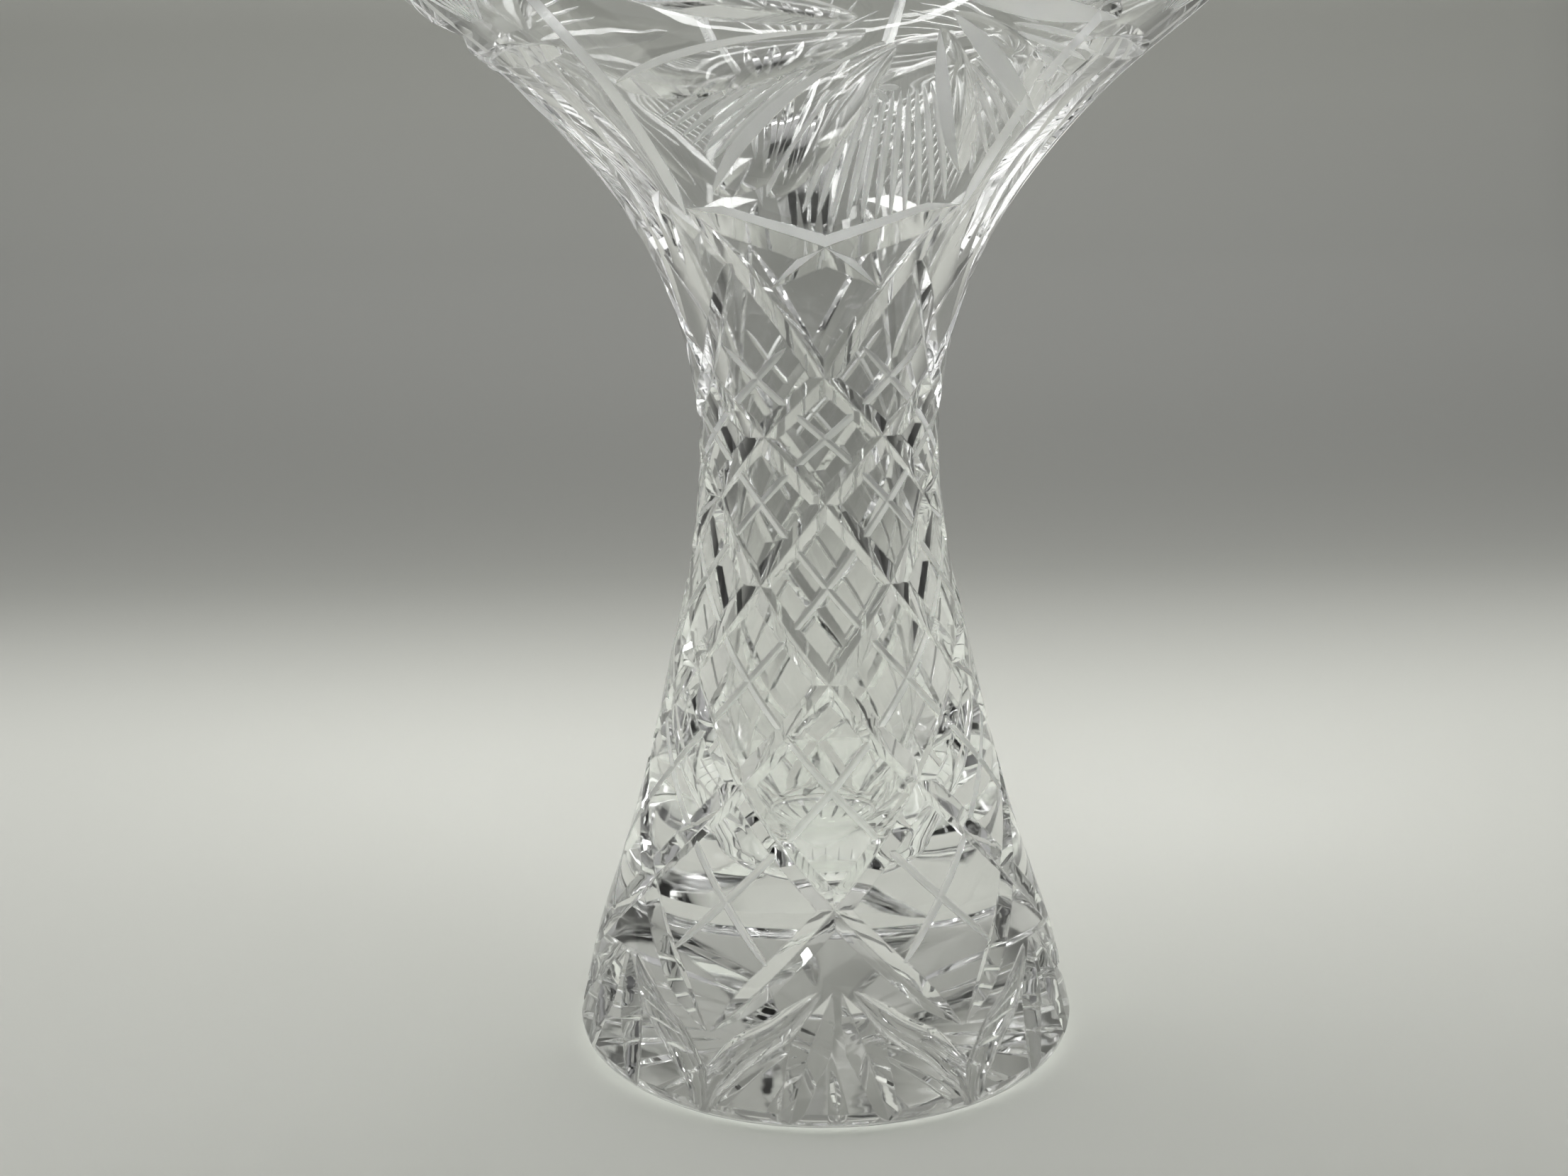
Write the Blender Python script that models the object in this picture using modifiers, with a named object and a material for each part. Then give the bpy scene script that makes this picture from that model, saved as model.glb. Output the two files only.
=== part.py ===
"""A trumpet-shaped vase of cut lead crystal, ground from one thick blown blank.

The blank is turned; every decoration is then cut into it as a grinding wheel would do: long
mitre grooves that cross as a diamond lattice on the waist, leaf cuts that fan out over the
foot, pinwheel blades and long leaves round the bowl, a scalloped rim and a star under the foot.
Metres, +Z up, origin at the centre of the underside, the front fan of the foot towards -Y.
"""

import math

import bmesh
import bpy
import numpy as np

# Driving dimensions, in metres and degrees.
HEIGHT = 0.280
RIM_RADIUS = 0.1125
WAIST_RADIUS = 0.0274
WAIST_HEIGHT = 0.145
FOLDS = 6  # diamonds of the lattice round the vase
SWIRLS = 3  # pinwheels round the bowl
TURN_STEPS = 48

CAVITY_FLOOR = 0.0375  # thickness of solid crystal in the foot
RIM_WALL = 0.0065

PANEL = 360 / SWIRLS
CLEARANCE = 0.0012  # how far a cutter stands out of the wall
MITRE_DEPTH = 0.0019
MITRE_SPREAD = 1.5  # half width for each metre of depth
LATTICE_TOP = 0.158
# The mitres of the lattice: (degrees turned on the way down, height); they cross every 30.
LATTICE = ((0, LATTICE_TOP), (60, 0.131), (120, 0.0927), (180, 0.0460), (210, 0.0190))
WINDOW_HALF_ANGLE = 41.0
WINDOW_TOP = 0.194
WINDOW_DIP = 0.185  # lowest point of the V that closes each window

BLADE_HUB = (10.0, 0.2290)  # degrees round from the front, height
# Blades of a pinwheel, in two rounds of cutting: (bearing, length, width).
BLADES_FIRST = (
    (170, 0.062, 0.8), (228, 0.080, 1.2), (303, 0.062, 0.6), (0, 0.050, 0.8), (90, 0.043, 0.8))
BLADES_SECOND = (
    (196, 0.070, 1.1), (241, 0.070, 0.9), (330, 0.060, 0.7), (48, 0.046, 0.8), (132, 0.045, 0.8))
BORDER_ANGLE = 42.5  # of the borders beside each pinwheel, from its middle
LEAF_GAP = 9.5  # between the long leaves of a narrow panel
LEAF_TOP = 0.2235
CROSS_HEIGHT = 0.2245

EDGE_ROUND = 0.0035  # the foot turns in by this much on its way down to the table
STAR_RAYS = 24
STAR_RADIUS = 0.044
STAR_DEPTH = 0.0015
SCALLOPS = 24
SCALLOP_DEPTH = 0.003

# The outer wall: (height, radius), foot to rim, joined by a smooth curve.
OUTER_WALL = (
    (0.0045, 0.0591),
    (0.024, 0.0545),
    (0.048, 0.0465),
    (0.0965, 0.0341),
    (0.121, 0.0290),
    (WAIST_HEIGHT, WAIST_RADIUS),
    (0.169, 0.0314),
    (0.193, 0.0425),
    (0.217, 0.0624),
    (0.241, 0.0905),
    (0.262, 0.1060),
    (HEIGHT, RIM_RADIUS),
)
# The cavity: (height, radius), from the edge of its rounded floor to the rim.
INNER_WALL = (
    (0.045, 0.0165),
    (0.060, 0.0218),
    (0.078, 0.0232),
    (0.0965, 0.0220),
    (0.121, 0.0196),
    (WAIST_HEIGHT, 0.0188),
    (0.169, 0.0228),
    (0.193, 0.0335),
    (0.217, 0.0533),
    (0.241, 0.0815),
    (0.262, 0.0982),
    (HEIGHT, RIM_RADIUS - RIM_WALL),
)


def smooth_curve(points, heights):
    """Radii at the given heights on a curve through the points, with matched slopes."""
    z = np.array([p[0] for p in points])
    r = np.array([p[1] for p in points])
    slope = np.gradient(r, z)
    h = np.clip(np.asarray(heights, dtype=float), z[0], z[-1])
    i = np.clip(np.searchsorted(z, h, side="right") - 1, 0, len(z) - 2)
    span = z[i + 1] - z[i]
    t = (h - z[i]) / span
    return (
        (1 + 2 * t) * (1 - t) ** 2 * r[i]
        + t * (1 - t) ** 2 * span * slope[i]
        + t * t * (3 - 2 * t) * r[i + 1]
        + t * t * (t - 1) * span * slope[i + 1]
    )


# The outer wall as arrays, carried on straight below the foot's edge for the cutters.
FOOT_EDGE = OUTER_WALL[0]
FOOT_SLOPE = (OUTER_WALL[1][1] - FOOT_EDGE[1]) / (OUTER_WALL[1][0] - FOOT_EDGE[0])
HEIGHTS = np.linspace(-0.008, HEIGHT, 2000)
RADII = smooth_curve(OUTER_WALL, HEIGHTS) + FOOT_SLOPE * np.minimum(HEIGHTS - FOOT_EDGE[0], 0)
LEANS = np.arctan(np.gradient(RADII, HEIGHTS))
# How far up the wall a height is, in degrees that are as long as those round the vase there.
RUN = np.hypot(np.gradient(RADII, HEIGHTS), 1.0) / RADII
CLIMB = np.degrees(np.concatenate([[0], np.cumsum((RUN[1:] + RUN[:-1]) / 2 * np.diff(HEIGHTS))]))


def wall_frames(path):
    """Points of the outer wall and their outward directions, at (degrees, height) places."""
    a, h = np.radians(path[:, 0]), path[:, 1]
    radius, lean = np.interp(h, HEIGHTS, RADII), np.interp(h, HEIGHTS, LEANS)
    away = np.stack([np.sin(a), -np.cos(a), 0 * a], axis=1)
    up = np.array([0.0, 0.0, 1.0])
    points = away * radius[:, None] + up * h[:, None]
    return points, away * np.cos(lean)[:, None] - up * np.sin(lean)[:, None]


def add_groove(bm, path, depths, left, right=None):
    """A closed three-sided tube whose lower edge runs along the path below the wall.

    path is (degrees, height) rows, depths the cut at each. left and right are the widths of the
    two flanks for each metre of depth, seen along the path; right is as left unless given.
    """
    points, outs = wall_frames(np.asarray(path, dtype=float))
    side = np.cross(outs, np.gradient(points, axis=0))
    side /= np.linalg.norm(side, axis=1)[:, None]
    depths = np.asarray(depths)[:, None]
    spread = side * (depths + CLEARANCE)
    top = points + outs * CLEARANCE
    corners = (points - outs * depths, top + spread * left, top - spread * (right or left))
    rings = [[bm.verts.new(corner[i]) for corner in corners] for i in range(len(points))]
    for a, b in zip(rings, rings[1:]):
        for j in range(3):
            k = (j + 1) % 3
            bm.faces.new((a[j], a[k], b[k], b[j]))
    bm.faces.new(rings[0][::-1])
    bm.faces.new(rings[-1])


def leaf_depths(count, depth, peak=0.5):
    """Depths of a wheel cut that fades out at both ends, deepest at the share `peak`."""
    t = np.linspace(0, 1, count)
    t = np.where(t < peak, t / peak / 2, 0.5 + (t - peak) / (1 - peak) / 2)
    return -0.0002 + (depth + 0.0002) * np.sin(math.pi * t) ** 0.8


def straight(start, end, count):
    """(degrees, height) rows between two places of the wall."""
    return np.linspace(start, end, count)


def on_bowl(hub_angle, across, upward):
    """Places from metres across and up a flat drawing of the bowl, laid round its hub."""
    radius = np.interp(BLADE_HUB[1], HEIGHTS, RADII)
    turned = np.interp(BLADE_HUB[1], HEIGHTS, CLIMB) + np.degrees(upward / radius)
    return np.stack([hub_angle + np.degrees(across / radius), np.interp(turned, CLIMB, HEIGHTS)], axis=1)


def mitres(bm, lean):
    """The long grooves that lean one way: one for each diamond round the vase."""
    turned = np.linspace(LATTICE[-1][0], 0, 13)
    heights = smooth_curve(LATTICE, turned)
    for i in range(FOLDS):
        corner = i * 360 / FOLDS
        main = i % (FOLDS // SWIRLS) == 0
        reach = 1.0 if main else 0.72
        window = straight((corner, LATTICE_TOP), (
            corner - lean * WINDOW_HALF_ANGLE * reach,
            LATTICE_TOP + (WINDOW_TOP - LATTICE_TOP) * reach), 4)
        path = np.concatenate([np.stack([corner + lean * turned, heights], axis=1), window[1:]])
        depths = np.full(len(path), MITRE_DEPTH)
        depths[0] = -0.0002
        depths[-1] = 0.0004
        add_groove(bm, path, depths, MITRE_SPREAD)


def window_tops(bm, lean):
    """One leg of the V over each clear window, carried on past the dip as a thin leaf."""
    for i in range(SWIRLS):
        corner = i * PANEL
        leg = straight((corner - lean * WINDOW_HALF_ANGLE, WINDOW_TOP), (corner, WINDOW_DIP), 6)
        wing = straight((corner, WINDOW_DIP), (corner + lean * 20, WINDOW_DIP - 0.008), 4)
        path = np.concatenate([leg, wing[1:]])
        depths = np.interp(np.arange(len(path)), (0, 1, 5, 8), (0.0006, 0.002, 0.002, -0.0002))
        add_groove(bm, path, depths, 1.7)


def foot_cut(bm, side, places, depths, spread):
    """One cut of the fan under each lattice point: places are (degrees to the side, height)."""
    count = 8
    turn = np.linspace(places[0][0], places[-1][0], count)
    heights = smooth_curve(places, turn)
    deep = np.interp(np.linspace(0, 1, count), *zip(*depths))
    for i in range(FOLDS):
        add_groove(bm, np.stack([i * 360 / FOLDS + side * turn, heights], axis=1), deep, spread)


def foot_leaves(bm, side):
    """The two inner leaves of each fan, widest half way down."""
    foot_cut(bm, side, ((0.9, 0.0300), (6.8, 0.0157), (9.6, 0.0060), (11.2, -0.0015)),
             ((0, -0.0002), (0.25, 0.0018), (0.5, 0.0029), (0.75, 0.0021), (1, 0.0012)), 1.6)


def foot_flutes(bm, side):
    """The hollow cuts that close each fan and turn down over the foot's edge."""
    foot_cut(bm, side, ((3.6, 0.0300), (13.0, 0.0220), (25.5, 0.0120), (29.5, 0.0055), (31.0, -0.0010)),
             ((0, -0.0002), (0.25, 0.0019), (0.6, 0.0028), (0.85, 0.0026), (1, 0.0014)), 1.2)


def blades(bm, leaves):
    """Leaves that spin out from each hub, with a steep flank and a wide one."""
    t = np.linspace(0, 1, 7)
    for i in range(SWIRLS):
        for bearing, length, width in leaves:
            a = math.radians(bearing)
            reach = 0.008 + (length - 0.008) * t
            aside = 0.0035 - 0.004 * t  # like a pinwheel's arms, they pass the hub on one side
            path = on_bowl(BLADE_HUB[0] + i * PANEL, reach * np.cos(a) - aside * np.sin(a),
                           reach * np.sin(a) + aside * np.cos(a))
            path[:, 1] = np.minimum(path[:, 1], HEIGHT - 0.006)
            add_groove(bm, path, leaf_depths(7, 0.0024), 2.4 * width, 1.6)


def panel_borders(bm, side):
    """The long mitres that part each pinwheel's panel from the leaves beside it."""
    for i in range(SWIRLS):
        angle = i * PANEL + side * BORDER_ANGLE
        add_groove(bm, straight((angle, 0.192), (angle, 0.262), 6),
                   (-0.0002, 0.0014, 0.0014, 0.0014, 0.0014, -0.0002), 1.25)


def side_leaves(bm, offset):
    """Long leaves up the narrow panels between the pinwheels."""
    for i in range(SWIRLS):
        middle = (i + 0.5) * PANEL
        add_groove(bm, straight((middle + offset * 0.8, 0.182), (middle + offset, LEAF_TOP), 7),
                   leaf_depths(7, 0.0031, 0.55), 1.15)


def cross_cuts(bm):
    """A short cut across the top of the leaves in each narrow panel."""
    for i in range(SWIRLS):
        middle = (i + 0.5) * PANEL
        path = straight((middle - 15, CROSS_HEIGHT), (middle + 15, CROSS_HEIGHT), 6)
        add_groove(bm, path, leaf_depths(6, 0.0026), 1.3)


def rim_scallops(bm):
    """Wedges across the rim, which leave a row of low points between the cuts."""
    pitch = math.tau / SCALLOPS
    for i in range(SCALLOPS):
        a = (i + 0.5) * pitch
        half = math.tan(pitch / 2) * 0.98
        near, far, tip = RIM_RADIUS - 0.012, RIM_RADIUS + 0.006, HEIGHT - SCALLOP_DEPTH
        away = np.array([math.sin(a), -math.cos(a), 0.0])
        across = np.array([math.cos(a), math.sin(a), 0.0])
        ends = []
        for r in (near, far):
            ends.append([bm.verts.new(p) for p in (
                away * r + np.array([0, 0, tip]),
                away * r + across * r * half + np.array([0, 0, HEIGHT + 0.0005]),
                away * r - across * r * half + np.array([0, 0, HEIGHT + 0.0005]))])
        a0, a1 = ends
        for j in range(3):
            k = (j + 1) % 3
            bm.faces.new((a0[j], a0[k], a1[k], a1[j]))
        bm.faces.new(a0[::-1])
        bm.faces.new(a1)


def foot_star(bm):
    """A many-pointed low pyramid, which leaves a star of mitres under the foot."""
    ring = []
    for i in range(2 * STAR_RAYS):
        a = math.pi * i / STAR_RAYS
        r = STAR_RADIUS if i % 2 == 0 else STAR_RADIUS * 0.55
        ring.append((r * math.sin(a), -r * math.cos(a)))
    low = [bm.verts.new((x, y, -0.001)) for x, y in ring]
    rim = [bm.verts.new((x, y, 0.0001)) for x, y in ring]
    top = bm.verts.new((0, 0, STAR_DEPTH))
    for i in range(len(ring)):
        k = (i + 1) % len(ring)
        bm.faces.new((low[i], low[k], rim[k], rim[i]))
        bm.faces.new((rim[i], rim[k], top))
    bm.faces.new(low[::-1])


def crystal_material():
    material = bpy.data.materials.new("crystal")
    material.use_nodes = True
    shader = material.node_tree.nodes["Principled BSDF"]
    shader.inputs["Base Color"].default_value = (0.98, 0.985, 0.98, 1)
    shader.inputs["Roughness"].default_value = 0.02
    shader.inputs["IOR"].default_value = 1.55
    shader.inputs["Transmission Weight"].default_value = 1.0
    return material


def turned_blank(collection):
    """The uncut blank: one profile from the cavity floor over the rim to the underside."""
    inner_heights = np.linspace(INNER_WALL[0][0], HEIGHT, 10)
    inner = list(zip(smooth_curve(INNER_WALL, inner_heights), inner_heights))
    floor_edge = INNER_WALL[0]
    bowl = [(0.0, CAVITY_FLOOR)]
    for t in (30, 60):
        a = math.radians(t)
        bowl.append((floor_edge[1] * math.sin(a),
                     CAVITY_FLOOR + (floor_edge[0] - CAVITY_FLOOR) * (1 - math.cos(a))))
    outer_heights = np.linspace(HEIGHT, OUTER_WALL[0][0], 17)
    outer = list(zip(smooth_curve(OUTER_WALL, outer_heights), outer_heights))
    foot = []
    for t in (45, 90):
        a = math.radians(t)
        foot.append((FOOT_EDGE[1] - EDGE_ROUND * (1 - math.cos(a)), FOOT_EDGE[0] * (1 - math.sin(a))))
    foot.append((0.0, 0.0))
    profile = bowl + inner + outer + foot

    mesh = bpy.data.meshes.new("vase_body")
    mesh.from_pydata([(r, 0, z) for r, z in profile],
                     [(i, i + 1) for i in range(len(profile) - 1)], [])
    vase = bpy.data.objects.new("vase_body", mesh)
    collection.objects.link(vase)
    turn = vase.modifiers.new("turn", "SCREW")
    turn.axis = "Z"
    turn.steps = turn.render_steps = TURN_STEPS
    turn.use_merge_vertices = True
    turn.merge_threshold = 0.00005
    return vase


def cut(vase, collection, name, build, *args):
    """Grinds one set of cutters, made by build(bm, *args), out of the vase."""
    bm = bmesh.new()
    build(bm, *args)
    bmesh.ops.recalc_face_normals(bm, faces=bm.faces)
    mesh = bpy.data.meshes.new(name)
    bm.to_mesh(mesh)
    bm.free()
    cutter = bpy.data.objects.new(name, mesh)
    cutter.hide_render = True
    cutter.display_type = "WIRE"
    collection.objects.link(cutter)
    grind = vase.modifiers.new(name, "BOOLEAN")
    grind.operation = "DIFFERENCE"
    grind.solver = "MANIFOLD"  # the exact solver leaves holes where shallow cuts cross
    grind.object = cutter


def finish(vase):
    """Applies the cuts, drops the crumbs of crystal left between them and shades the facets."""
    shape = bpy.data.meshes.new_from_object(
        vase.evaluated_get(bpy.context.evaluated_depsgraph_get()))
    vase.modifiers.clear()
    bm = bmesh.new()
    bm.from_mesh(shape)
    bm.faces.ensure_lookup_table()
    body, unseen = set(), set(bm.faces)
    while unseen:
        island, edge_of_island = set(), [unseen.pop()]
        while edge_of_island:
            face = edge_of_island.pop()
            island.add(face)
            near = {f for e in face.edges for f in e.link_faces} & unseen
            unseen -= near
            edge_of_island += near
        if len(island) > len(body):
            body = island
    bmesh.ops.delete(bm, geom=[f for f in bm.faces if f not in body], context="FACES")
    bmesh.ops.dissolve_degenerate(bm, edges=bm.edges, dist=0.00003)
    bm.to_mesh(shape)
    bm.free()
    vase.data = shape
    shape.shade_smooth()
    shape.set_sharp_from_angle(angle=math.radians(18))


def build():
    for item in list(bpy.data.objects):
        bpy.data.objects.remove(item)
    parts = bpy.data.collections.new("crystal_vase")
    wheels = bpy.data.collections.new("cutters")
    bpy.context.scene.collection.children.link(parts)
    bpy.context.scene.collection.children.link(wheels)

    vase = turned_blank(parts)
    cut(vase, wheels, "mitres_left", mitres, 1)
    cut(vase, wheels, "mitres_right", mitres, -1)
    cut(vase, wheels, "window_tops_left", window_tops, 1)
    cut(vase, wheels, "window_tops_right", window_tops, -1)
    for side, name in ((-1, "left"), (1, "right")):
        cut(vase, wheels, "foot_flutes_" + name, foot_flutes, side)
        cut(vase, wheels, "foot_leaves_" + name, foot_leaves, side)
    cut(vase, wheels, "blades_first", blades, BLADES_FIRST)
    cut(vase, wheels, "blades_second", blades, BLADES_SECOND)
    for side, name in ((-1, "left"), (1, "right")):
        cut(vase, wheels, "panel_borders_" + name, panel_borders, side)
    for offset, name in ((-LEAF_GAP, "left"), (0, "middle"), (LEAF_GAP, "right")):
        cut(vase, wheels, "side_leaves_" + name, side_leaves, offset)
    cut(vase, wheels, "cross_cuts", cross_cuts)
    cut(vase, wheels, "rim_scallops", rim_scallops)
    cut(vase, wheels, "foot_star", foot_star)
    finish(vase)
    vase.data.materials.append(crystal_material())


build()
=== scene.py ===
"""The look of a cut lead crystal vase: one blank, ground with every cut, in plain studio light."""
import math

import bmesh
import bpy
import numpy as np
from mathutils import Matrix, Vector


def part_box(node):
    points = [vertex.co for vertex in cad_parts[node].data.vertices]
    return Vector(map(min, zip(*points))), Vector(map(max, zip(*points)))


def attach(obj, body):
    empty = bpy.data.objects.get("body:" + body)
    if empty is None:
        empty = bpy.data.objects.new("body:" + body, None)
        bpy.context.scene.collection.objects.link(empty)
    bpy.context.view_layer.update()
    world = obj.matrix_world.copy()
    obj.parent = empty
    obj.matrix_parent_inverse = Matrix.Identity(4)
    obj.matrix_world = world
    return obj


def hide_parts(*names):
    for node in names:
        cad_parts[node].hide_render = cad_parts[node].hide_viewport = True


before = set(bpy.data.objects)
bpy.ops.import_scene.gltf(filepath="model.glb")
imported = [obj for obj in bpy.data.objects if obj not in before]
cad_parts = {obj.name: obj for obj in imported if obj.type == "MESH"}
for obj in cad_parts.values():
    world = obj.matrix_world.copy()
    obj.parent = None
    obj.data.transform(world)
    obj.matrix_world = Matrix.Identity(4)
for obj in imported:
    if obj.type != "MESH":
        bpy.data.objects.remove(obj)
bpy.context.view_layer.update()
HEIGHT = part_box("vase_body")[1][2]
RIM_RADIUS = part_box("vase_body")[1][0]

# Sizes in metres and degrees, as the crystal is ground.
RIM_WALL = 0.0065
CAVITY_FLOOR = 0.0375
EDGE_ROUND = 0.0035  # the foot turns in by this much on its way down to the table
FOLDS = 6  # diamonds of the lattice round the vase
SWIRLS = 3  # pinwheels round the bowl
CELL, PANEL = 360 / FOLDS, 360 / SWIRLS
SCALLOPS, STAR_RAYS = 24, 24
TURN_STEPS = 288
LIFT = 0.0012  # how far a cutter stands out of the wall
CLEAR = -0.0001  # the depth of a cut where the wheel has left the wall

# The outer wall and the cavity: (height, radius), joined by smooth curves.
OUTER_WALL = (
    (0.0045, 0.0591), (0.024, 0.0545), (0.048, 0.0465), (0.0965, 0.0341), (0.121, 0.0290),
    (0.145, 0.0274), (0.169, 0.0314), (0.193, 0.0425), (0.217, 0.0624), (0.241, 0.0905),
    (0.262, 0.1060), (HEIGHT, RIM_RADIUS),
)
INNER_WALL = (
    (0.045, 0.0165), (0.060, 0.0218), (0.078, 0.0232), (0.0965, 0.0220), (0.121, 0.0196),
    (0.145, 0.0188), (0.169, 0.0228), (0.193, 0.0335), (0.217, 0.0533), (0.241, 0.0815),
    (0.262, 0.0982), (HEIGHT, RIM_RADIUS - RIM_WALL),
)
# The mitres of the lattice: (degrees turned on the way down, height); they cross every 30 degrees.
LATTICE = ((-30, 0.1725), (0, 0.158), (60, 0.131), (120, 0.0927), (180, 0.0460), (210, 0.0190))
LATTICE_TOP = 0.158
WINDOW_HALF_ANGLE, WINDOW_TOP, WINDOW_DIP = 41.0, 0.194, 0.185

# The bowl. Bearings turn from across (0) to up (90), on a flat drawing laid round a hub.
HUB = (10.0, 0.2290)  # of a pinwheel: degrees from its panel's middle, height
# Blades, in two rounds of cutting: (bearing, length, width).
BLADES_FIRST = (
    (170, 0.062, 0.8), (228, 0.080, 1.2), (303, 0.062, 0.6), (0, 0.050, 0.8), (90, 0.043, 0.8))
BLADES_SECOND = (
    (196, 0.070, 1.1), (241, 0.070, 0.9), (330, 0.060, 0.7), (48, 0.046, 0.8), (132, 0.045, 0.8))
# Fine frosted fans between the blades: (first bearing, last bearing, lines, length).
FANS_BELOW = ((207, 223, 6, 0.068), (252, 297, 11, 0.072), (308, 325, 5, 0.062), (336, 352, 4, 0.055))
FANS_ABOVE = ((10, 36, 6, 0.046), (58, 80, 5, 0.042), (100, 122, 5, 0.042), (142, 160, 4, 0.045))
SMALL_STAR = (7.5, 0.2161)
BORDER_FOOT, BORDER_TOP = (42.0, 0.192), (43.0, 0.262)
# The narrow panels between the pinwheels: three long leaves, a cross cut and a fan on it.
LEAF_GAP, LEAF_FOOT, LEAF_TOP = 9.5, 0.182, 0.2235
CROSS_HALF_ANGLE, CROSS_HEIGHT = 15, 0.2245
SIDE_FAN_HEIGHT = 0.2290
HIGHEST_CUT = HEIGHT - 0.004  # the bowl's cuts stop short of the rim

POLISHED, FROSTED = 0, 1  # material slots of the vase
OUTER, INNER, BASE = 2, 3, 4  # faces of the blank, told apart until their normals are set


# ---------------------------------------------------------------- the wall as a curved sheet
def smooth_curve(points, heights):
    z = np.array([p[0] for p in points])
    r = np.array([p[1] for p in points])
    slope = np.gradient(r, z)
    h = np.clip(np.asarray(heights, dtype=float), z[0], z[-1])
    i = np.clip(np.searchsorted(z, h, side="right") - 1, 0, len(z) - 2)
    span = z[i + 1] - z[i]
    t = (h - z[i]) / span
    return ((1 + 2 * t) * (1 - t) ** 2 * r[i] + t * (1 - t) ** 2 * span * slope[i]
            + t * t * (3 - 2 * t) * r[i + 1] + t * t * (t - 1) * span * slope[i + 1])


# For the cutters the wall is carried on straight below the foot's edge.
HEIGHTS = np.linspace(-0.008, HEIGHT, 4000)
FOOT_EDGE = OUTER_WALL[0]
FOOT_SLOPE = (OUTER_WALL[1][1] - FOOT_EDGE[1]) / (OUTER_WALL[1][0] - FOOT_EDGE[0])
RADII = smooth_curve(OUTER_WALL, HEIGHTS) + FOOT_SLOPE * np.minimum(HEIGHTS - FOOT_EDGE[0], 0)
LEANS = np.arctan(np.gradient(RADII, HEIGHTS))
RUN = np.hypot(np.gradient(RADII, HEIGHTS), 1.0) / RADII
# How far up the wall a height is, in degrees that are as long as those round the vase there.
CLIMB = np.degrees(np.concatenate([[0], np.cumsum((RUN[1:] + RUN[:-1]) / 2 * np.diff(HEIGHTS))]))


def climb(height):
    return np.interp(height, HEIGHTS, CLIMB)


def height_at(turned):
    return np.interp(turned, CLIMB, HEIGHTS)


def wall_frames(angles, heights):
    """Points of the outer wall and their outward directions, as two arrays."""
    a = np.radians(np.asarray(angles, dtype=float))
    h = np.asarray(heights, dtype=float)
    r = np.interp(h, HEIGHTS, RADII)
    lean = np.interp(h, HEIGHTS, LEANS)
    away = np.stack([np.sin(a), -np.cos(a), 0 * a], axis=1)
    up = np.array([0.0, 0.0, 1.0])
    points = away * r[:, None] + up * h[:, None]
    return points, away * np.cos(lean)[:, None] - up * np.sin(lean)[:, None]


# ---------------------------------------------------------------- cutters
def line(start, end, count):
    """Places (degrees, height) on a straight line of the unrolled wall."""
    t = np.linspace(0, 1, count)
    a0, a1, c0, c1 = start[0], end[0], climb(start[1]), climb(end[1])
    return np.stack([a0 + (a1 - a0) * t, height_at(c0 + (c1 - c0) * t)], axis=1)


def leaf(count, depth, peak=0.5, power=0.8):
    """Depths along a cut that fades out at both ends."""
    t = np.linspace(0, 1, count)
    t = np.where(t < peak, t / peak / 2, 0.5 + (t - peak) / (1 - peak) / 2)
    return CLEAR + (depth - CLEAR) * np.sin(math.pi * t) ** power


def held(count, depth, fade=0.12):
    """Depths along a cut of even depth that fades only near its ends."""
    t = np.linspace(0, 1, count)
    return np.interp(t, (0, fade, 1 - fade, 1), (CLEAR, depth, depth, CLEAR))


def vee(half):
    """A mitre wheel's section."""
    return [(half, 1.0), (0.0, 0.0), (-half, 1.0)]


def flute(half, steps=14):
    """A round wheel's section."""
    turn = np.linspace(0, math.pi, steps + 1)
    return [(half * math.cos(t), 1 - math.sin(t)) for t in turn]


SCOOP_STEPS = 7  # faces across the hollow of a blade


def scoop(wide, flank):
    """A blade's section: a wide rounded hollow on the left and a steep flat flank on the right."""
    turn = np.linspace(math.pi / 2, 0, SCOOP_STEPS + 1)
    return [(wide * math.sin(t), 1 - math.cos(t)) for t in turn] + [(-flank, 1.0)]


class Wheel:
    """A set of cuts ground together: tubes with the section that the wheel's edge has."""

    def __init__(self, name):
        self.name, self.verts, self.faces, self.slots = name, [], [], []

    def groove(self, path, depths, section, slots=(POLISHED,), frames=None):
        """A cut along a path of (degrees, height), or along frames of points and directions.

        section runs over the cut from its left edge, through the bottom, to its right edge, as
        (widths for each metre of depth, share of the depth still standing).
        """
        points, outs = frames if frames else wall_frames(path[:, 0], path[:, 1])
        along = np.gradient(points, axis=0)
        side = np.cross(outs, along)
        side /= np.linalg.norm(side, axis=1)[:, None]
        depths = np.broadcast_to(depths, (len(points),))[:, None]
        reach = depths + LIFT
        rings = np.stack([points + outs * (share * reach - depths) + side * width * reach
                          for width, share in section], axis=1)
        first, n = len(self.verts), len(section)
        self.verts += [tuple(v) for v in rings.reshape(-1, 3)]
        if len(slots) == 1:
            slots = slots * (n - 1)
        for i in range(len(points) - 1):
            for j in range(n):
                k, a, b = (j + 1) % n, first + n * i, first + n * (i + 1)
                self.faces.append((a + j, a + k, b + k, b + j))
                self.slots.append(slots[j] if j < n - 1 else POLISHED)
        last = first + n * (len(points) - 1)
        self.faces += [tuple(first + j for j in range(n))[::-1], tuple(last + j for j in range(n))]
        self.slots += [slots[0], slots[0]]

    def mesh(self):
        mesh = bpy.data.meshes.new(self.name)
        mesh.from_pydata(self.verts, [], self.faces)
        for material in slot_materials():
            mesh.materials.append(material)
        mesh.polygons.foreach_set("material_index", self.slots)
        bm = bmesh.new()
        bm.from_mesh(mesh)
        bmesh.ops.recalc_face_normals(bm, faces=bm.faces)
        bm.to_mesh(mesh)
        bm.free()
        return mesh


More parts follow.
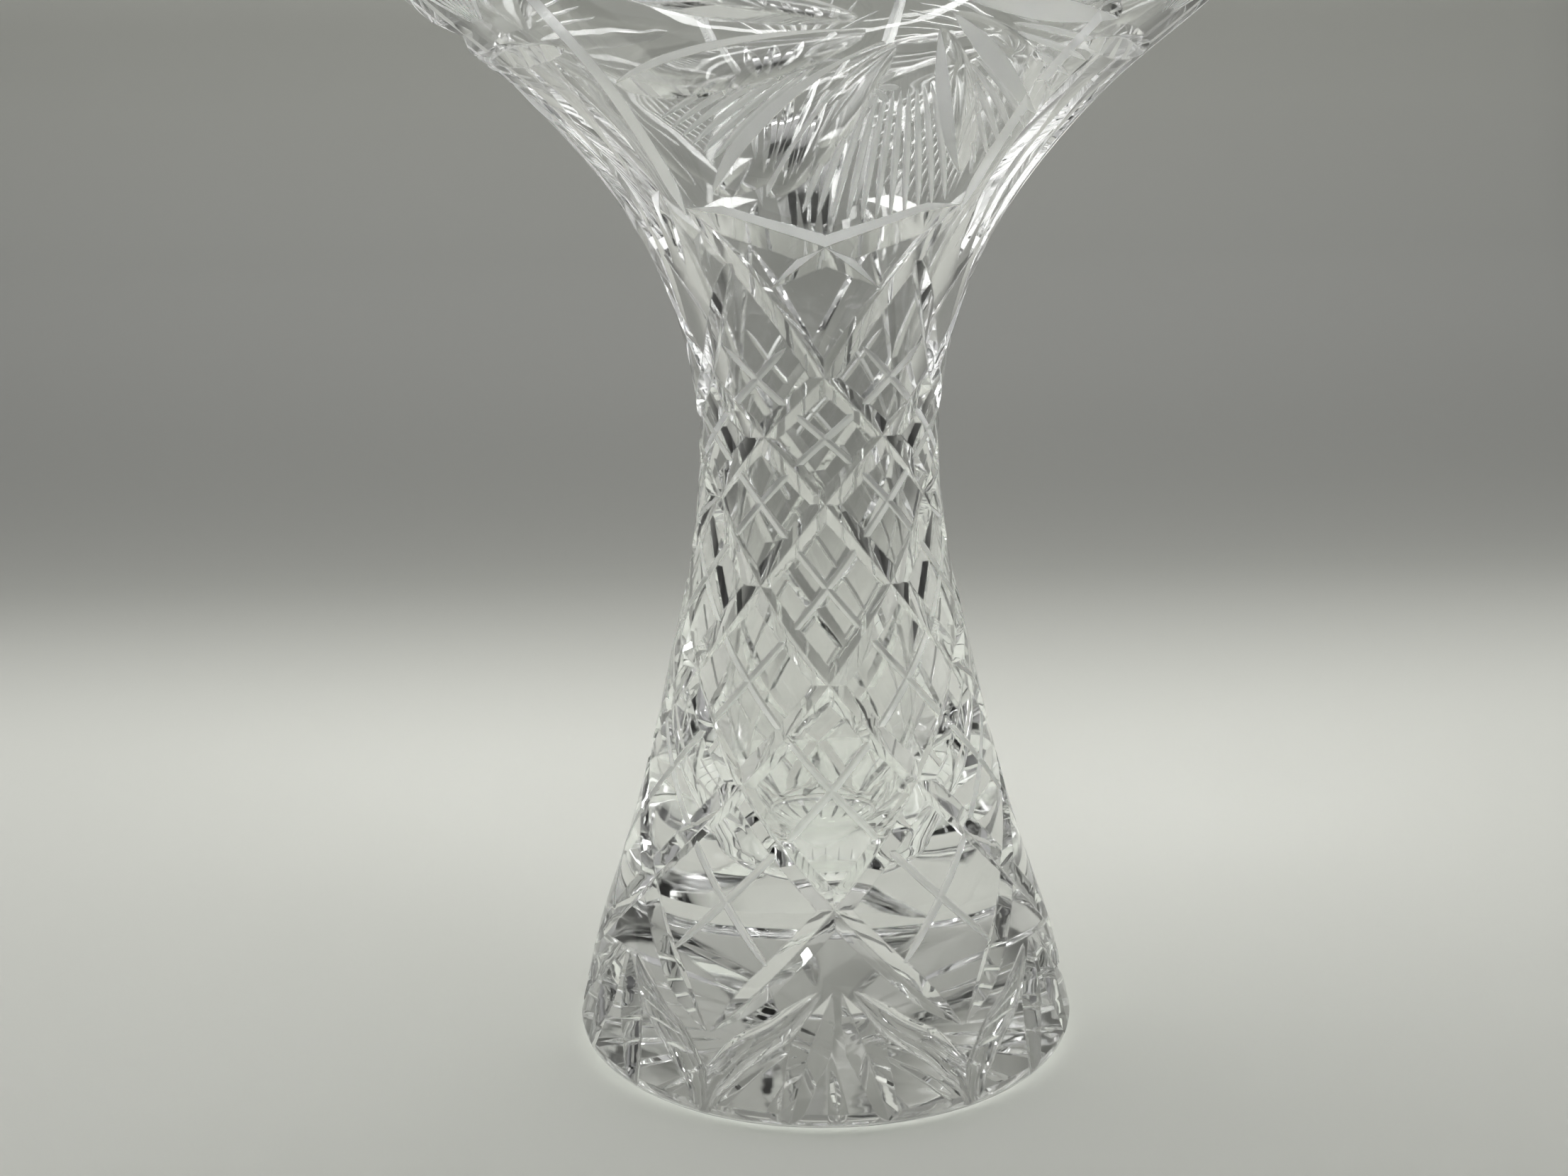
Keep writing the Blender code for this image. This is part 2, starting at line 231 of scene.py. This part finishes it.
def lattice_path(corner, lean, first, last, count):
    """A mitre that leans one way, between two turns below the place (corner, LATTICE_TOP)."""
    turned = np.linspace(first, last, count)
    return np.stack([corner + lean * turned, smooth_curve(LATTICE, turned)], axis=1)


def mitres(lean):
    """The long grooves that lean one way: one for each diamond round the vase."""
    wheel = Wheel("mitres")
    for i in range(FOLDS):
        corner = i * CELL
        # Every other pair stops short of the tops of the windows.
        reach = 1.0 if i % (FOLDS // SWIRLS) == 0 else 0.72
        top = (corner - lean * WINDOW_HALF_ANGLE * reach,
               LATTICE_TOP + (WINDOW_TOP - LATTICE_TOP) * reach)
        path = np.concatenate([lattice_path(corner, lean, 3.5 * CELL, 0, 60),
                               line((corner, LATTICE_TOP), top, 16)[1:]])
        depths = np.linspace(0.0020, 0.0016, len(path))
        depths[:3], depths[-4:] = (CLEAR, 0.0008, 0.0016), (0.0014, 0.0012, 0.0008, CLEAR)
        wheel.groove(path, depths, vee(1.5))
    return wheel


def cross_lines(lean):
    """The fine frosted lines that cross inside each diamond."""
    wheel = Wheel("cross_lines")
    for i in range(FOLDS):
        path = lattice_path((i + 0.5) * CELL, lean, 3.25 * CELL, -0.25 * CELL, 70)
        wheel.groove(path, held(len(path), 0.00065, fade=0.02), vee(1.25), (FROSTED,))
    return wheel


def window_tops(lean):
    """One leg of the V over each clear window, carried on past the dip as a thin wing."""
    wheel = Wheel("window_tops")
    for i in range(SWIRLS):
        corner = i * PANEL
        path = np.concatenate([
            line((corner - lean * WINDOW_HALF_ANGLE, WINDOW_TOP), (corner, WINDOW_DIP), 16),
            line((corner, WINDOW_DIP), (corner + lean * 20, WINDOW_DIP - 0.008), 10)[1:]])
        depths = np.interp(np.arange(len(path)), (0, 4, 14, 18, 24), (0.0, 0.0021, 0.0021, 0.0012, CLEAR))
        wheel.groove(path, depths, vee(1.7), (FROSTED, POLISHED)[::lean])
    return wheel


def foot_cut(name, side, places, depths, section):
    """One cut of the fan under each lattice point.

    places are (degrees to the side, height), depths are (share of the way down, depth).
    """
    wheel = Wheel(name)
    count = 30
    turn = np.linspace(places[0][0], places[-1][0], count)
    heights = smooth_curve(places, turn)
    deep = np.interp(np.linspace(0, 1, count), *zip(*depths))
    for i in range(FOLDS):
        wheel.groove(np.stack([i * CELL + side * turn, heights], axis=1), deep, section)
    return wheel


def foot_leaves(side):
    """The two inner leaves of each fan, widest half way down."""
    places = ((0.9, 0.0300), (6.8, 0.0157), (9.6, 0.0060), (11.2, -0.0015))
    depths = ((0, CLEAR), (0.25, 0.0018), (0.5, 0.0029), (0.75, 0.0021), (1, 0.0012))
    return foot_cut("foot_leaves", side, places, depths, vee(1.6))


def foot_flutes(side):
    """The hollow cuts that close each fan and turn down over the foot's edge."""
    places = ((3.6, 0.0300), (13.0, 0.0220), (25.5, 0.0120), (29.5, 0.0055), (31.0, -0.0010))
    depths = ((0, CLEAR), (0.25, 0.0019), (0.6, 0.0028), (0.85, 0.0026), (1, 0.0014))
    return foot_cut("foot_flutes", side, places, depths, flute(0.95))


def on_bowl(angle, across, upward, height=HUB[1]):
    """Places from metres across and up a flat drawing of the bowl, laid round (angle, height)."""
    scale = np.interp(height, HEIGHTS, RADII)
    turned = climb(height) + np.degrees(np.asarray(upward) / scale)
    return np.stack([angle + np.degrees(np.asarray(across) / scale), height_at(turned)], axis=1)


def blades(leaves):
    """Leaves that spin out from each hub, with a clear hollow and a frosted flank."""
    wheel = Wheel("blades")
    t = np.linspace(0, 1, 30)
    for i in range(SWIRLS):
        for bearing, length, width in leaves:
            a = math.radians(bearing)
            reach = 0.008 + (length - 0.008) * t
            aside = 0.0035 - 0.004 * t  # like a pinwheel's arms, they pass the hub on one side
            path = on_bowl(HUB[0] + i * PANEL, reach * np.cos(a) - aside * np.sin(a),
                           reach * np.sin(a) + aside * np.cos(a))
            path[:, 1] = np.minimum(path[:, 1], HIGHEST_CUT)
            wheel.groove(path, leaf(len(t), 0.0024), scoop(2.4 * width, 1.6),
                         (POLISHED,) * SCOOP_STEPS + (FROSTED,))
    return wheel


def rays(wheel, centre, bearings, start, length, depth=0.0006):
    """Fine frosted lines that fan out from a place (degrees, height) in each third of the bowl."""
    reach = np.linspace(start, length, 14)
    for i in range(SWIRLS):
        for bearing in bearings:
            a = math.radians(bearing)
            path = on_bowl(centre[0] + i * PANEL, reach * np.cos(a), reach * np.sin(a), centre[1])
            path[:, 1] = np.minimum(path[:, 1], HIGHEST_CUT)
            wheel.groove(path, leaf(len(reach), depth, power=0.5), vee(1.2), (FROSTED,))


def fans(groups):
    """The fans between the blades of each pinwheel."""
    wheel = Wheel("fans")
    for first, last, count, length in groups:
        rays(wheel, HUB, np.linspace(first, last, count), 0.022, length)
    return wheel


def small_stars():
    """An eight-rayed star under each hub."""
    wheel = Wheel("small_stars")
    rays(wheel, SMALL_STAR, range(0, 360, 45), 0.0008, 0.0052)
    return wheel


def panel_borders(side):
    """The long frosted mitres that part each pinwheel's panel from the leaves beside it."""
    wheel = Wheel("panel_borders")
    for i in range(SWIRLS):
        start, end = [(i * PANEL + side * turned, height) for turned, height in (BORDER_FOOT, BORDER_TOP)]
        path = line(start, end, 30)
        wheel.groove(path, held(len(path), 0.0014), vee(1.25), (FROSTED,))
    return wheel


def side_leaves(offset):
    """Long leaves up the narrow panels between the pinwheels."""
    wheel = Wheel("side_leaves")
    for i in range(SWIRLS):
        middle = (i + 0.5) * PANEL
        path = line((middle + offset * 0.8, LEAF_FOOT), (middle + offset, LEAF_TOP), 24)
        wheel.groove(path, leaf(len(path), 0.0031, 0.55), vee(1.15))
    return wheel


def side_fans():
    """A cross cut over the leaves of each narrow panel, and a frosted fan that stands on it."""
    wheel = Wheel("side_fans")
    for i in range(SWIRLS):
        middle = (i + 0.5) * PANEL
        path = line((middle - CROSS_HALF_ANGLE, CROSS_HEIGHT), (middle + CROSS_HALF_ANGLE, CROSS_HEIGHT), 20)
        wheel.groove(path, leaf(len(path), 0.0026, power=0.6), vee(1.3))
    rays(wheel, (PANEL / 2, SIDE_FAN_HEIGHT), np.linspace(48, 132, 8), 0.003, 0.028, 0.0007)
    return wheel


def scallops():
    """Wedges across the rim, which leave a row of low points between the cuts."""
    wheel = Wheel("scallops")
    pitch = math.tau / SCALLOPS
    for i in range(SCALLOPS):
        a = (i + 0.5) * pitch
        away = np.array([math.sin(a), -math.cos(a), 0.0])
        across = np.array([math.cos(a), math.sin(a), 0.0])
        first = len(wheel.verts)
        for r in (RIM_RADIUS - 0.012, RIM_RADIUS + 0.006):
            half = r * math.tan(pitch / 2) * 0.98
            for s, z in ((0, HEIGHT - 0.003), (half, HEIGHT + 0.0005), (-half, HEIGHT + 0.0005)):
                wheel.verts.append(tuple(away * r + across * s + np.array([0, 0, z])))
        for j in range(3):
            k = (j + 1) % 3
            wheel.faces.append((first + j, first + k, first + 3 + k, first + 3 + j))
        wheel.faces += [(first + 2, first + 1, first), (first + 3, first + 4, first + 5)]
        wheel.slots += [POLISHED] * 5
    return wheel


def foot_star(start):
    """Every other ray of the star ground into the underside."""
    wheel = Wheel("foot_star")
    reach = np.linspace(0.022, 0.047, 20)
    for i in range(start, STAR_RAYS, 2):
        a = math.tau * i / STAR_RAYS
        points = np.stack([reach * math.sin(a), -reach * math.cos(a), 0 * reach], axis=1)
        outs = np.broadcast_to([0.0, 0.0, -1.0], points.shape)
        wheel.groove(None, leaf(len(reach), 0.0009, 0.6), vee(1.2), frames=(points, outs))
    return wheel


# ---------------------------------------------------------------- the blank
def blank_profile():
    """(radius, height, kind) from the cavity floor over the rim to the underside."""
    edge = INNER_WALL[0]
    rows = []
    for t in np.linspace(0, 90, 14)[:-1]:
        a = math.radians(t)
        rise = (edge[0] - CAVITY_FLOOR) * (1 - math.cos(a))
        rows.append((edge[1] * math.sin(a), CAVITY_FLOOR + rise, INNER))
    z = np.linspace(edge[0], HEIGHT, 110)
    rows += [(r, h, INNER) for r, h in zip(smooth_curve(INNER_WALL, z), z)]
    z = np.linspace(HEIGHT, FOOT_EDGE[0], 170)
    rows += [(r, h, OUTER) for r, h in zip(smooth_curve(OUTER_WALL, z), z)]
    for t in np.linspace(0, 90, 7)[1:]:
        a = math.radians(t)
        rows.append((FOOT_EDGE[1] - EDGE_ROUND * (1 - math.cos(a)), FOOT_EDGE[0] * (1 - math.sin(a)), BASE))
    rows.append((0.0, 0.0, BASE))
    return rows


def turned_blank():
    """The uncut blank, its faces marked as outer wall, inner wall or base."""
    rows = blank_profile()
    turn = np.linspace(0, math.tau, TURN_STEPS, endpoint=False)
    verts = [(0, 0, rows[0][1])]
    faces, slots = [], []
    for r, h, _ in rows[1:-1]:
        verts += [(r * math.sin(a), -r * math.cos(a), h) for a in turn]
    verts.append((0, 0, 0))
    n = TURN_STEPS
    for i in range(n):
        k = (i + 1) % n
        faces.append((0, 1 + i, 1 + k))
        slots.append(INNER)
        for j in range(len(rows) - 3):
            a, b = 1 + j * n, 1 + (j + 1) * n
            faces.append((a + i, b + i, b + k, a + k))
            kind, next_kind = rows[j + 1][2], rows[j + 2][2]
            over_rim = kind == INNER and next_kind == OUTER
            slots.append(BASE if over_rim else next_kind)
        a = 1 + (len(rows) - 3) * n
        faces.append((a + i, len(verts) - 1, a + k))
        slots.append(BASE)
    mesh = bpy.data.meshes.new("crystal_vase")
    mesh.from_pydata(verts, [], faces)
    for material in slot_materials():
        mesh.materials.append(material)
    mesh.polygons.foreach_set("material_index", slots)
    mesh.update()
    vase = bpy.data.objects.new("crystal_vase", mesh)
    bpy.context.scene.collection.objects.link(vase)
    return vase


def grind(vase, wheels):
    """Cuts every wheel's grooves out of the blank, in turn."""
    cutters = []
    for wheel in wheels:
        cutter = bpy.data.objects.new(wheel.name, wheel.mesh())
        bpy.context.scene.collection.objects.link(cutter)
        cutters.append(cutter)
        cut = vase.modifiers.new(wheel.name, "BOOLEAN")
        cut.operation, cut.solver, cut.object = "DIFFERENCE", "MANIFOLD", cutter
    shape = bpy.data.meshes.new_from_object(
        vase.evaluated_get(bpy.context.evaluated_depsgraph_get()))
    vase.modifiers.clear()
    vase.data = shape
    for cutter in cutters:
        bpy.data.objects.remove(cutter)


def drop_crumbs(mesh):
    """Removes slivers that the cuts leave loose, and edges too short to see."""
    bm = bmesh.new()
    bm.from_mesh(mesh)
    body, unseen = set(), set(bm.faces)
    while unseen:
        island, waiting = set(), [unseen.pop()]
        while waiting:
            face = waiting.pop()
            island.add(face)
            near = {f for e in face.edges for f in e.link_faces} & unseen
            unseen -= near
            waiting += near
        body = max(body, island, key=len)
    bmesh.ops.delete(bm, geom=[f for f in bm.faces if f not in body], context="FACES")
    bmesh.ops.dissolve_degenerate(bm, edges=bm.edges, dist=0.000005)
    bm.to_mesh(mesh)
    bm.free()


def numbers(items, name, width=1, kind=float):
    """One value of every item, as an array, or as rows where the value has parts."""
    values = np.empty(len(items) * width, dtype=kind)
    items.foreach_get(name, values)
    return values.reshape(-1, width) if width > 1 else values


def crease(mesh):
    """Sharp edges inside the cuts and where they meet the blank, none on the blank itself."""
    mesh.shade_smooth()
    mesh.set_sharp_from_angle(angle=math.radians(16))
    bm = bmesh.new()
    bm.from_mesh(mesh)
    for e in bm.edges:
        kinds = {f.material_index for f in e.link_faces}
        if len(kinds) > 1:
            e.smooth = False
        elif kinds <= {OUTER, INNER}:
            e.smooth = True
    bm.to_mesh(mesh)
    bm.free()


def set_normals(mesh):
    """Gives what is left of the blank's walls their true roundness between the cuts."""
    crease(mesh)
    slots = numbers(mesh.polygons, "material_index", kind=np.int32)
    corner = numbers(mesh.corner_normals, "vector", 3)
    place = numbers(mesh.vertices, "co", 3)[numbers(mesh.loops, "vertex_index", kind=np.int32)]
    kind = np.repeat(slots, numbers(mesh.polygons, "loop_total", kind=np.int32))
    away = place * (1, 1, 0)
    away /= np.maximum(np.linalg.norm(away, axis=1), 1e-9)[:, None]
    for slot, wall, sign in ((OUTER, OUTER_WALL, 1), (INNER, INNER_WALL, -1)):
        z = np.linspace(wall[0][0], HEIGHT, 3000)
        lean = np.interp(place[:, 2], z, np.arctan(np.gradient(smooth_curve(wall, z), z)))
        out = away * np.cos(lean)[:, None] - np.array([0, 0, 1.0]) * np.sin(lean)[:, None]
        chosen = (kind == slot) & (place[:, 2] > wall[0][0] + 0.001)
        corner[chosen] = (out * sign)[chosen]
    mesh.normals_split_custom_set(corner)
    slots[slots > FROSTED] = POLISHED
    mesh.polygons.foreach_set("material_index", slots)
    while len(mesh.materials) > FROSTED + 1:
        mesh.materials.pop()


# ---------------------------------------------------------------- materials
def link(tree, a, b):
    tree.links.new(a, b)


def crystal(name, frosted):
    """Lead crystal, polished or as the wheel leaves it, that lets some light by in its shadow."""
    material = bpy.data.materials.new(name)
    material.use_nodes = True
    tree = material.node_tree
    shader = tree.nodes["Principled BSDF"]
    shader.inputs["Base Color"].default_value = (0.905, 0.91, 0.9, 1)
    shader.inputs["IOR"].default_value = 1.55
    shader.inputs["Transmission Weight"].default_value = 1.0
    place = tree.nodes.new("ShaderNodeTexCoord")
    grain = tree.nodes.new("ShaderNodeTexNoise")
    link(tree, place.outputs["Object"], grain.inputs["Vector"])
    spread = tree.nodes.new("ShaderNodeMapRange")
    link(tree, grain.outputs["Fac"], spread.inputs["Value"])
    link(tree, spread.outputs["Result"], shader.inputs["Roughness"])
    bump = tree.nodes.new("ShaderNodeBump")
    link(tree, grain.outputs["Fac"], bump.inputs["Height"])
    link(tree, bump.outputs["Normal"], shader.inputs["Normal"])
    soft_edge = tree.nodes.new("ShaderNodeBevel")
    soft_edge.samples = 4
    soft_edge.inputs["Radius"].default_value = 0.0005
    link(tree, soft_edge.outputs["Normal"], bump.inputs["Normal"])
    if frosted:
        grain.inputs["Scale"].default_value = 1500
        spread.inputs["To Min"].default_value, spread.inputs["To Max"].default_value = 0.3, 0.5
        bump.inputs["Strength"].default_value, bump.inputs["Distance"].default_value = 0.3, 0.0001
    else:
        grain.inputs["Scale"].default_value = 60
        spread.inputs["To Min"].default_value, spread.inputs["To Max"].default_value = 0.0, 0.015
        bump.inputs["Strength"].default_value, bump.inputs["Distance"].default_value = 0.08, 0.0008
    lets_light_by = tree.nodes.new("ShaderNodeBsdfTransparent")
    lets_light_by.inputs["Color"].default_value = (0.90, 0.91, 0.90, 1)
    path = tree.nodes.new("ShaderNodeLightPath")
    mix = tree.nodes.new("ShaderNodeMixShader")
    link(tree, path.outputs["Is Shadow Ray"], mix.inputs["Fac"])
    link(tree, shader.outputs["BSDF"], mix.inputs[1])
    link(tree, lets_light_by.outputs["BSDF"], mix.inputs[2])
    link(tree, mix.outputs["Shader"], tree.nodes["Material Output"].inputs["Surface"])
    return material


def slot_materials():
    """Two real materials, then stand-ins that mark the blank's own faces while it is cut."""
    names = ("crystal_polished", "crystal_frosted", "mark_outer", "mark_inner", "mark_base")
    for i, name in enumerate(names):
        if name not in bpy.data.materials:
            crystal(name, i == FROSTED) if i <= FROSTED else bpy.data.materials.new(name)
    return [bpy.data.materials[name] for name in names]


def grey_ramp(tree, value, stops, high=1.0, interpolation="LINEAR", tint=(1, 1, 1)):
    """Greys, or tinted greys, at values from -1 to high."""
    share = tree.nodes.new("ShaderNodeMapRange")
    share.inputs["From Min"].default_value, share.inputs["From Max"].default_value = -1, high
    link(tree, value, share.inputs["Value"])
    ramp = tree.nodes.new("ShaderNodeValToRGB")
    ramp.color_ramp.interpolation = interpolation
    while len(ramp.color_ramp.elements) < len(stops):
        ramp.color_ramp.elements.new(1.0)
    for element, (at, grey) in zip(ramp.color_ramp.elements, stops):
        element.position = (at + 1) / (high + 1)
        element.color = (*(grey * part for part in tint), 1)
    link(tree, share.outputs["Result"], ramp.inputs["Fac"])
    return ramp.outputs["Color"]


def multiplied(tree, a, b):
    """The product of two colours."""
    both = tree.nodes.new("ShaderNodeMix")
    both.data_type, both.blend_type = "RGBA", "MULTIPLY"
    both.inputs["Factor"].default_value = 1.0
    link(tree, a, both.inputs["A"])
    link(tree, b, both.inputs["B"])
    return both.outputs["Result"]


# ---------------------------------------------------------------- stage, light and camera
def stage():
    """A pale table that runs in one soft curve up into a mid-grey wall."""
    far, bend, level = 0.50, 0.30, -0.0003
    profile = [(y, level) for y in (-2.5, -1.0, -0.4, 0.0, 0.2, far)]
    for t in np.linspace(0, 90, 19)[1:]:
        a = math.radians(t)
        profile.append((far + bend * math.sin(a), level + bend * (1 - math.cos(a))))
    profile += [(far + bend, 0.6), (far + bend, 2.2)]
    mesh = bpy.data.meshes.new("sweep")
    mesh.from_pydata([(x, y, z) for y, z in profile for x in (-3, 3)],
                     [], [(2 * i, 2 * i + 1, 2 * i + 3, 2 * i + 2) for i in range(len(profile) - 1)])
    mesh.shade_smooth()
    sweep = bpy.data.objects.new("sweep", mesh)
    bpy.context.scene.collection.objects.link(sweep)
    sweep.data.materials.append(sweep_paper())


def sweep_paper():
    """Paper that is palest on the table and mid-grey on the wall, its tone carrying painted shade and light:
    darker on the table round the vase, nearly black behind the camera, darkest low in the curve and paler up
    the wall, with painted shade towards the sides.
    """
    material = bpy.data.materials.new("sweep_paper")
    material.use_nodes = True
    tree = material.node_tree
    shader = tree.nodes["Principled BSDF"]
    shader.inputs["Roughness"].default_value = 0.6
    place = tree.nodes.new("ShaderNodeTexCoord")
    back_and_up = tree.nodes.new("ShaderNodeVectorMath")
    back_and_up.operation = "DOT_PRODUCT"
    back_and_up.inputs[1].default_value = (0, 1, 0.6)
    link(tree, place.outputs["Object"], back_and_up.inputs[0])
    # Painted shade and light in the paper's tone: nearly black behind the camera, darker round the vase,
    # darkest low in the curve.
    stops = ((-0.6, 0.08), (-0.2, 0.52), (0.0, 0.50), (0.22, 0.74), (0.38, 0.52), (0.53, 0.31),
             (0.70, 0.23), (0.86, 0.36), (0.93, 0.46), (1.0, 0.78), (1.16, 0.80), (1.3, 0.80))
    paper_tone_and_painted_shade = grey_ramp(tree, back_and_up.outputs["Value"], stops, 1.4, "B_SPLINE", (1, 1.01, 0.94))
    split = tree.nodes.new("ShaderNodeSeparateXYZ")
    link(tree, place.outputs["Object"], split.inputs["Vector"])
    aside = tree.nodes.new("ShaderNodeMath")
    aside.operation = "ABSOLUTE"
    link(tree, split.outputs["X"], aside.inputs[0])
    # Painted shade: the paper darkens towards the sides.
    painted_side_shade = grey_ramp(tree, aside.outputs["Value"], ((0.0, 1.0), (0.5, 1.0), (1.0, 0.2)))
    link(tree, multiplied(tree, paper_tone_and_painted_shade, painted_side_shade), shader.inputs["Base Color"])
    return material


def area(name, place, aim, size, power):
    """A rectangular light at a place, turned to face its aim."""
    data = bpy.data.lights.new(name, "AREA")
    data.shape, data.size, data.size_y = "RECTANGLE", size[0], size[1]
    data.energy = power
    lamp = bpy.data.objects.new(name, data)
    lamp.location = place
    lamp.rotation_euler = (Vector(aim) - Vector(place)).to_track_quat("-Z", "Y").to_euler()
    bpy.context.scene.collection.objects.link(lamp)
    return lamp


def lights():
    """A soft light over everything that the glass doesn't mirror, and strips and lamps that it does."""
    ceiling = area("ceiling", (0.0, 0.45, 1.5), (0, 0.2, 0), (2.6, 1.0), 25)
    ceiling.visible_glossy = ceiling.visible_transmission = False
    for name, place, size in (("strip_left", (-0.9, -0.1, 1.2), (0.07, 0.8)),
                              ("strip_right", (0.8, 0.1, 1.3), (0.07, 0.8)),
                              ("strip_over", (0.0, 0.3, 1.6), (1.2, 0.06)),
                              ("lamp_left", (-0.5, -0.6, 1.4), (0.12, 0.12)),
                              ("lamp_right", (0.45, -0.8, 1.3), (0.12, 0.12)),
                              ("lamp_behind", (0.1, 1.0, 1.7), (0.12, 0.12))):
        area(name, place, (0, 0, 0.15), size, 4).visible_diffuse = False
    world = bpy.context.scene.world or bpy.data.worlds.new("room")
    bpy.context.scene.world = world
    world.use_nodes = True
    tree = world.node_tree
    where = tree.nodes.new("ShaderNodeTexCoord")
    split = tree.nodes.new("ShaderNodeSeparateXYZ")
    link(tree, where.outputs["Generated"], split.inputs["Vector"])
    # Grey walls that brighten upwards, open in front to a dark room.
    upwards = grey_ramp(tree, split.outputs["Z"],
                        ((-1.0, 0.04), (0.0, 0.05), (0.2, 0.17), (0.6, 0.45), (1.0, 0.55)))
    backwards = grey_ramp(tree, split.outputs["Y"],
                          ((-1.0, 0.01), (-0.5, 0.015), (-0.42, 0.6), (0.0, 1.0)))
    link(tree, multiplied(tree, upwards, backwards), tree.nodes["Background"].inputs["Color"])


def camera():
    """Set from the vase's own proportions: how far off, how high and how it is turned."""
    foot_radius = 0.0577  # where it meets the table
    away, height = 7.265 * foot_radius, 3.434 * foot_radius
    pitch, roll, yaw, round_by = 0.2145, -0.0157, 0.0202, -0.0488  # radians
    forward = Vector((-math.sin(yaw) * math.cos(pitch), math.cos(yaw) * math.cos(pitch), -math.sin(pitch)))
    right = Vector((math.cos(yaw), math.sin(yaw), 0))
    up = right.cross(forward)
    image_right = right * math.cos(roll) + up * math.sin(roll)
    image_up = up * math.cos(roll) - right * math.sin(roll)
    turn = Matrix((image_right, image_up, -forward)).transposed().to_4x4()
    data = bpy.data.cameras.new("camera")
    data.sensor_width = 36
    data.lens = 42.3146
    data.clip_start = 0.01
    eye = bpy.data.objects.new("camera", data)
    eye.matrix_world = (Matrix.Rotation(round_by, 4, "Z") @ Matrix.Translation((0, -away, height)) @ turn)
    bpy.context.scene.collection.objects.link(eye)
    bpy.context.scene.camera = eye


def main():
    scene = bpy.context.scene
    scene.view_settings.view_transform = "Standard"
    scene.cycles.max_bounces, scene.cycles.transmission_bounces = 32, 32
    scene.cycles.glossy_bounces, scene.cycles.transparent_max_bounces = 12, 64
    vase = turned_blank()
    grind(vase, [
        mitres(1), mitres(-1), cross_lines(1), cross_lines(-1), window_tops(1), window_tops(-1),
        foot_flutes(-1), foot_flutes(1), foot_leaves(-1), foot_leaves(1),
        blades(BLADES_FIRST), blades(BLADES_SECOND), fans(FANS_BELOW), fans(FANS_ABOVE),
        small_stars(), panel_borders(-1), panel_borders(1),
        side_leaves(-LEAF_GAP), side_leaves(0), side_leaves(LEAF_GAP), side_fans(),
        scallops(), foot_star(0), foot_star(1)])
    drop_crumbs(vase.data)
    set_normals(vase.data)
    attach(vase, "root")
    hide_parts("vase_body")
    stage()
    lights()
    camera()


main()
